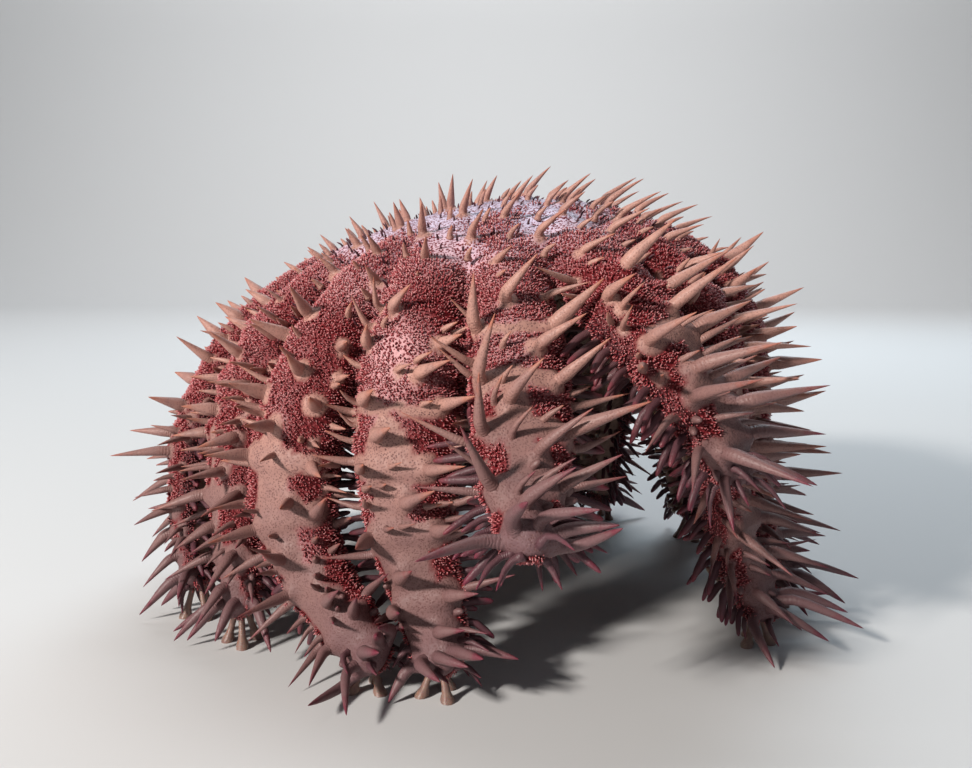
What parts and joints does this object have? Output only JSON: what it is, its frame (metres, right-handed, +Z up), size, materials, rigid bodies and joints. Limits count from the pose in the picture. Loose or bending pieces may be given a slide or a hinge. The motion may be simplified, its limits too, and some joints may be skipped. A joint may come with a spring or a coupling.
{
  "type": "crown of thorns starfish",
  "caption": "Still, life-size crown of thorns starfish, arched with its arms hanging down and its tips on the floor, spiny all over.",
  "frame": {"origin": "on the floor, under the middle of the box round the whole animal", "axes": "+Z up from the floor; -Y towards the side that the picture shows; +X to the right in the picture"},
  "size_m": [0.2286, 0.2427, 0.1394],
  "materials": {
    "disc_skin": "wet, dark red, thickly pimpled",
    "arm_skin": "wet, tan-pink bands over dark red, with fine pits"
  },
  "bodies": {
    "root": {"disc": "disc_skin", "arm_01_base": "arm_skin", "arm_01_tip": "arm_skin", "arm_02_base": "arm_skin", "arm_02_tip": "arm_skin", "arm_03_base": "arm_skin", "arm_03_tip": "arm_skin", "arm_04_base": "arm_skin", "arm_04_tip": "arm_skin", "arm_05_base": "arm_skin", "arm_05_tip": "arm_skin", "arm_06_base": "arm_skin", "arm_06_tip": "arm_skin", "arm_07_base": "arm_skin", "arm_07_tip": "arm_skin", "arm_08_base": "arm_skin", "arm_08_tip": "arm_skin", "arm_09_base": "arm_skin", "arm_09_tip": "arm_skin", "arm_10_base": "arm_skin", "arm_10_tip": "arm_skin", "arm_11_base": "arm_skin", "arm_11_tip": "arm_skin", "arm_12_base": "arm_skin", "arm_12_tip": "arm_skin", "arm_13_base": "arm_skin", "arm_13_tip": "arm_skin", "arm_14_base": "arm_skin", "arm_14_tip": "arm_skin", "arm_15_base": "arm_skin", "arm_15_tip": "arm_skin", "arm_16_base": "arm_skin", "arm_16_tip": "arm_skin"}
  },
  "joints": []
}
